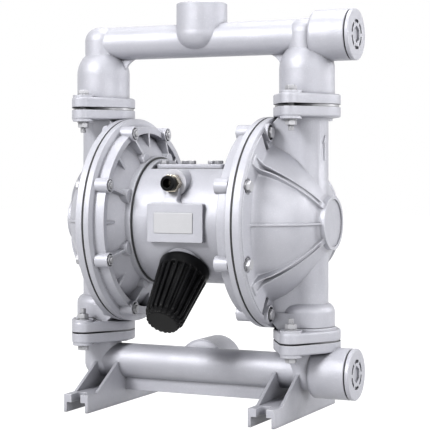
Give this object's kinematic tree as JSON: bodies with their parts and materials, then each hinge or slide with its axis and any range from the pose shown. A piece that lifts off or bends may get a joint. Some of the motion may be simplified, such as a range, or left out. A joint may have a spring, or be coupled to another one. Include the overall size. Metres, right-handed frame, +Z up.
{
  "type": "air operated diaphragm pump",
  "caption": "Air driven pump with two domed diaphragm chambers on one shaft, ball valves, suction and discharge manifolds, an air valve, a muffler and slotted feet.",
  "frame": {"origin": "on the floor, midway between the four foot slots", "axes": "+Z up along the discharge port, +X along the diaphragm shaft towards the plugged ends of the manifolds, +Y towards the rear, where the suction port faces; the air inlet and the muffler face -Y"},
  "size_m": [0.4165, 0.2811, 0.545],
  "materials": {
    "silver_casting": "fine cast aluminium with a satin silver coat",
    "centre_casting": "cast aluminium with a satin silver coat",
    "plated_steel": "bright zinc plate",
    "bright_steel": "ground and polished",
    "black_rubber": "matt black",
    "black_plastic": "moulded black, slightly glossy",
    "brass": "turned",
    "bronze": "sintered bearing bronze",
    "turned_aluminium": "turned",
    "porous_plastic": "porous white",
    "plate_metal": "smooth blank plate"
  },
  "bodies": {
    "housing": {"centre_body": "centre_casting", "discharge_end_plug": "silver_casting", "discharge_flange_bolts": "plated_steel", "discharge_flange_nuts": "plated_steel", "discharge_flange_washers": "plated_steel", "discharge_manifold": "silver_casting", "discharge_seat_rings": "black_rubber", "discharge_seats": "turned_aluminium", "inlet_collar": "black_plastic", "inlet_fitting": "brass", "left_air_cap": "silver_casting", "left_air_cap_screws": "plated_steel", "left_cap_bolts": "plated_steel", "left_cap_nuts": "plated_steel", "left_cap_washers": "plated_steel", "left_diaphragm": "black_rubber", "left_fluid_cap": "silver_casting", "left_hub_gasket": "black_rubber", "main_valve_sleeve": "turned_aluminium", "muffler": "black_plastic", "muffler_core": "porous_plastic", "name_plate": "plate_metal", "pilot_bushes": "bronze", "plug_rings": "black_rubber", "right_air_cap": "silver_casting", "right_air_cap_screws": "plated_steel", "right_cap_bolts": "plated_steel", "right_cap_nuts": "plated_steel", "right_cap_washers": "plated_steel", "right_diaphragm": "black_rubber", "right_fluid_cap": "silver_casting", "right_hub_gasket": "black_rubber", "shaft_bushes": "bronze", "shaft_seals": "black_rubber", "suction_end_plug": "silver_casting", "suction_flange_bolts": "plated_steel", "suction_flange_nuts": "plated_steel", "suction_flange_washers": "plated_steel", "suction_manifold": "silver_casting", "suction_seat_rings": "black_rubber", "suction_seats": "turned_aluminium", "valve_cover": "centre_casting", "valve_cover_gasket": "black_rubber", "valve_cover_screws": "plated_steel", "valve_end_caps": "turned_aluminium"},
    "shaft_assembly": {"diaphragm_shaft": "bright_steel", "left_inner_plate": "turned_aluminium", "right_inner_plate": "turned_aluminium", "left_outer_plate": "turned_aluminium", "right_outer_plate": "turned_aluminium", "plate_bolts": "bright_steel"},
    "pilot": {"pilot_rod": "bright_steel"},
    "spool": {"main_valve_spool": "turned_aluminium", "spool_seals": "black_rubber"},
    "left_suction_valve": {"left_suction_ball": "black_rubber"},
    "right_suction_valve": {"right_suction_ball": "black_rubber"},
    "left_discharge_valve": {"left_discharge_ball": "black_rubber"},
    "right_discharge_valve": {"right_discharge_ball": "black_rubber"}
  },
  "joints": [
    {"name": "shaft_slide", "type": "slide", "parent": "housing", "child": "shaft_assembly", "axis": [1, 0, 0], "range_m": [-0.015, 0.015], "deforming": ["left_diaphragm", "right_diaphragm"]},
    {"name": "pilot_slide", "type": "slide", "parent": "housing", "child": "pilot", "axis": [1, 0, 0], "range_m": [-0.004, 0.004]},
    {"name": "spool_slide", "type": "slide", "parent": "housing", "child": "spool", "axis": [1, 0, 0], "range_m": [0, 0.01]},
    {"name": "left_suction_ball_lift", "type": "slide", "parent": "housing", "child": "left_suction_valve", "axis": [0, 0, 1], "range_m": [0, 0.009]},
    {"name": "right_suction_ball_lift", "type": "slide", "parent": "housing", "child": "right_suction_valve", "axis": [0, 0, 1], "range_m": [0, 0.009]},
    {"name": "left_discharge_ball_lift", "type": "slide", "parent": "housing", "child": "left_discharge_valve", "axis": [0, 0, 1], "range_m": [0, 0.009]},
    {"name": "right_discharge_ball_lift", "type": "slide", "parent": "housing", "child": "right_discharge_valve", "axis": [0, 0, 1], "range_m": [0, 0.009]}
  ],
  "couplings": [
    {"joint": "pilot_slide", "follows": "shaft_slide", "ratio": 0.2666}
  ]
}
